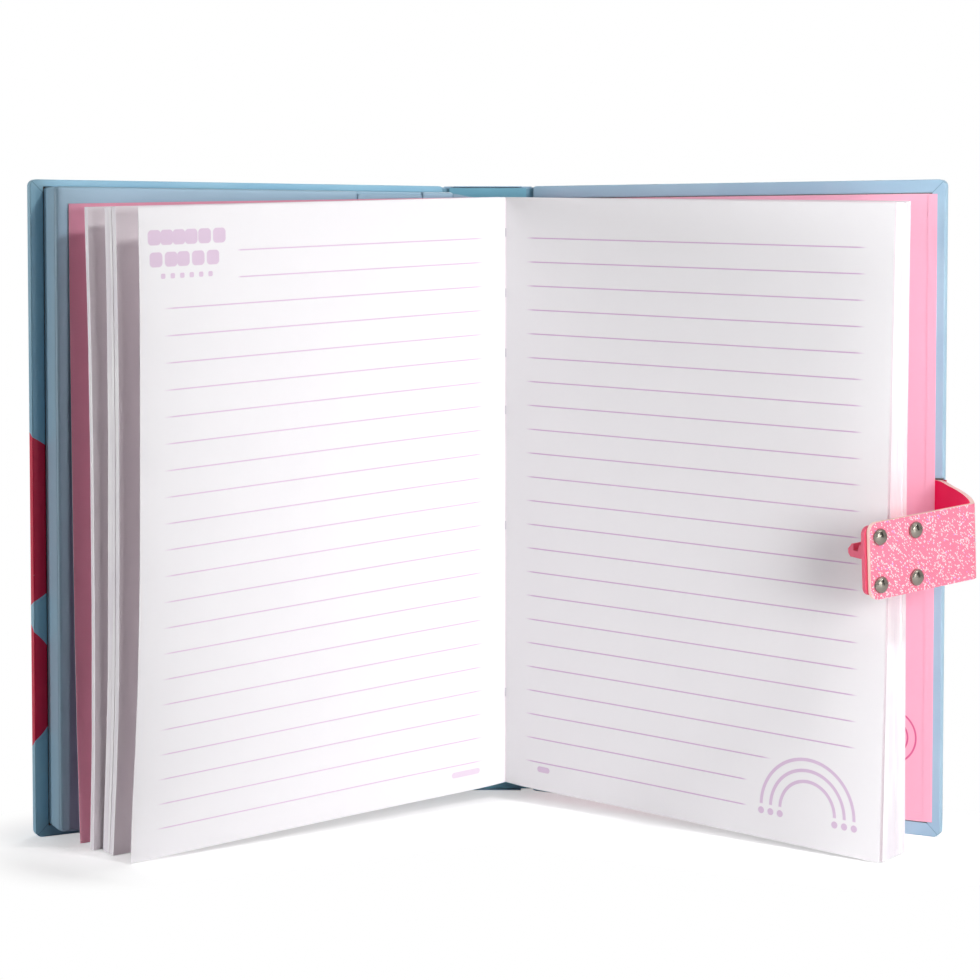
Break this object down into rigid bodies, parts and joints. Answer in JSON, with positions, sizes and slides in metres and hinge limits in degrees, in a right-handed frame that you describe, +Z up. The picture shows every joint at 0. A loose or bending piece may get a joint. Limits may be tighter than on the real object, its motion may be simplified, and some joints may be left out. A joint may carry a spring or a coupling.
{
  "type": "electronic diary",
  "caption": "Hard case-bound diary standing open, with a thick front cover that holds a keypad lock, and a riveted strap with a barbed tongue on the back cover.",
  "frame": {"origin": "middle of the foot of the spine, on the surface that the open diary stands on, in the middle plane of the spine board", "axes": "+X to the reader's right across the open diary, +Y away from the reader, square to the spine, +Z up along the spine"},
  "size_m": [0.3024, 0.1321, 0.216],
  "materials": {
    "cover_paper": "laminated, soft gloss",
    "spine_lining": "laminated",
    "grey_board": "raw board",
    "box_paper": "paper-covered moulding",
    "page_paper": "uncoated",
    "pink_paper": "coloured stock",
    "hinge_paper": "laminated",
    "strap_sheet": "imitation leather with glitter",
    "latch_plastic": "moulded",
    "rivet_metal": "nickel plated",
    "housing_plastic": "moulded",
    "key_plastic": "moulded",
    "circuit": "solder mask",
    "soft_rubber": "moulded",
    "led_lens": "clear",
    "speaker_body": "paper cone in a plastic basket",
    "spring_steel": "plated",
    "coil_copper": "wound copper in a steel yoke",
    "battery_can": "printed sleeve, no words"
  },
  "bodies": {
    "spine": {"spine_board": "grey_board", "spine_covering": "cover_paper", "spine_lining": "spine_lining", "front_joint_cloth": "cover_paper", "back_joint_cloth": "cover_paper", "front_hinge_paper": "hinge_paper", "back_hinge_paper": "pink_paper"},
    "front_cover": {"front_board": "grey_board", "front_covering": "cover_paper", "box_tray": "box_paper", "box_lid": "box_paper", "battery_1": "battery_can", "battery_2": "battery_can", "battery_bridge": "spring_steel", "battery_contact_plus": "spring_steel", "battery_contact_minus": "spring_steel", "lock_housing": "housing_plastic", "circuit_board": "circuit", "key_mat": "soft_rubber", "status_led": "led_lens", "speaker": "speaker_body", "release_solenoid": "coil_copper", "catch_spring": "spring_steel"},
    "battery_cover": {"battery_door": "box_paper"},
    "catch_slider": {"catch": "spring_steel"},
    "key_one": {"key_1": "key_plastic"},
    "key_two": {"key_2": "key_plastic"},
    "key_three": {"key_3": "key_plastic"},
    "key_four": {"key_4": "key_plastic"},
    "back_cover": {"back_board": "grey_board", "back_covering": "cover_paper", "back_endpaper": "pink_paper", "strap_root": "strap_sheet"},
    "strap_side_part": {"strap_side": "strap_sheet"},
    "strap_front_part": {"strap_front": "strap_sheet", "latch_plate": "latch_plastic", "rivet_1": "rivet_metal", "rivet_2": "rivet_metal", "rivet_3": "rivet_metal", "rivet_4": "rivet_metal"},
    "front_flyleaf_body": {"front_flyleaf": "pink_paper"},
    "left_leaves_outer_body": {"left_leaves_outer": "page_paper"},
    "left_leaves_inner_body": {"left_leaves_inner": "page_paper"},
    "left_page_body": {"left_page": "page_paper"},
    "right_page_body": {"right_page": "page_paper"},
    "right_leaves_inner_body": {"right_leaves_inner": "page_paper"},
    "right_leaves_middle_body": {"right_leaves_middle": "page_paper"},
    "right_leaves_outer_body": {"right_leaves_outer": "page_paper"}
  },
  "joints": [
    {"name": "front_cover_hinge", "type": "hinge", "parent": "spine", "child": "front_cover", "pos_m": [-0.01588, 0, 0], "axis": [0, 0, 1], "range_deg": [-27.4, 62.6], "deforming": ["front_hinge_paper"]},
    {"name": "back_cover_hinge", "type": "hinge", "parent": "spine", "child": "back_cover", "pos_m": [0.01588, 0, 0], "axis": [0, 0, -1], "range_deg": [-27.3, 62.7], "deforming": ["back_hinge_paper"]},
    {"name": "front_flyleaf_creep", "type": "slide", "parent": "front_cover", "child": "front_flyleaf_body", "axis": [-0.9508, -0.3097, 0], "range_m": [-0.00409, 0.00932]},
    {"name": "left_leaves_outer_turn", "type": "hinge", "parent": "front_cover", "child": "left_leaves_outer_body", "pos_m": [-0.07916, 0.20292, 0], "axis": [0, 0, -1], "range_deg": [-1.14, 2.6]},
    {"name": "left_leaves_inner_turn", "type": "hinge", "parent": "front_cover", "child": "left_leaves_inner_body", "pos_m": [-0.0445, 0.09174, 0], "axis": [0, 0, -1], "range_deg": [-2.89, 6.6]},
    {"name": "left_page_turn", "type": "hinge", "parent": "front_cover", "child": "left_page_body", "pos_m": [-0.03283, 0.05851, 0], "axis": [0, 0, -1], "range_deg": [-4.64, 10.6]},
    {"name": "right_page_turn", "type": "hinge", "parent": "back_cover", "child": "right_page_body", "pos_m": [-0.0263, 0.03896, 0], "axis": [0, 0, 1], "range_deg": [-3.57, 8.2]},
    {"name": "right_leaves_inner_turn", "type": "hinge", "parent": "back_cover", "child": "right_leaves_inner_body", "pos_m": [-0.02547, 0.03671, 0], "axis": [0, 0, 1], "range_deg": [-3.44, 7.9]},
    {"name": "right_leaves_middle_turn", "type": "hinge", "parent": "back_cover", "child": "right_leaves_middle_body", "pos_m": [-0.02954, 0.03628, 0], "axis": [0, 0, 1], "range_deg": [-3.18, 7.3]},
    {"name": "right_leaves_outer_turn", "type": "hinge", "parent": "back_cover", "child": "right_leaves_outer_body", "pos_m": [-0.03338, 0.03539, 0], "axis": [0, 0, 1], "range_deg": [-2.92, 6.7]},
    {"name": "strap_root_bend", "type": "hinge", "parent": "back_cover", "child": "strap_side_part", "pos_m": [0.15096, -0.07012, 0.106], "axis": [-0.1747, 0.1495, -0.9732], "range_deg": [-60, 27.2]},
    {"name": "strap_crease_bend", "type": "hinge", "parent": "strap_side_part", "child": "strap_front_part", "pos_m": [0.15053, -0.10759, 0.10236], "axis": [0.0495, 0.096, -0.9942], "range_deg": [-57.8, 32.2]},
    {"name": "key_1_press", "type": "slide", "parent": "front_cover", "child": "key_one", "axis": [0.4602, -0.8878, 0], "range_m": [0, 0.0008], "stiffness_N_per_m": 150},
    {"name": "key_2_press", "type": "slide", "parent": "front_cover", "child": "key_two", "axis": [0.4602, -0.8878, 0], "range_m": [0, 0.0008], "stiffness_N_per_m": 150},
    {"name": "key_3_press", "type": "slide", "parent": "front_cover", "child": "key_three", "axis": [0.4602, -0.8878, 0], "range_m": [0, 0.0008], "stiffness_N_per_m": 150},
    {"name": "key_4_press", "type": "slide", "parent": "front_cover", "child": "key_four", "axis": [0.4602, -0.8878, 0], "range_m": [0, 0.0008], "stiffness_N_per_m": 150},
    {"name": "catch_release", "type": "slide", "parent": "front_cover", "child": "catch_slider", "axis": [0, 0, 1], "range_m": [0, 0.0024], "stiffness_N_per_m": 120, "springref_m": -0.001, "deforming": ["catch_spring"]},
    {"name": "battery_door_slide", "type": "slide", "parent": "front_cover", "child": "battery_cover", "axis": [0, 0, 1], "range_m": [0, 0.012]}
  ],
  "couplings": [
    {"joint": "front_flyleaf_creep", "follows": "front_cover_hinge", "m_per_rad": 0.0085071},
    {"joint": "left_leaves_outer_turn", "follows": "front_cover_hinge", "ratio": 0.041534},
    {"joint": "left_leaves_inner_turn", "follows": "front_cover_hinge", "ratio": 0.10543},
    {"joint": "left_page_turn", "follows": "front_cover_hinge", "ratio": 0.16933},
    {"joint": "right_page_turn", "follows": "back_cover_hinge", "ratio": 0.13078},
    {"joint": "right_leaves_inner_turn", "follows": "back_cover_hinge", "ratio": 0.126},
    {"joint": "right_leaves_middle_turn", "follows": "back_cover_hinge", "ratio": 0.11643},
    {"joint": "right_leaves_outer_turn", "follows": "back_cover_hinge", "ratio": 0.10686}
  ]
}
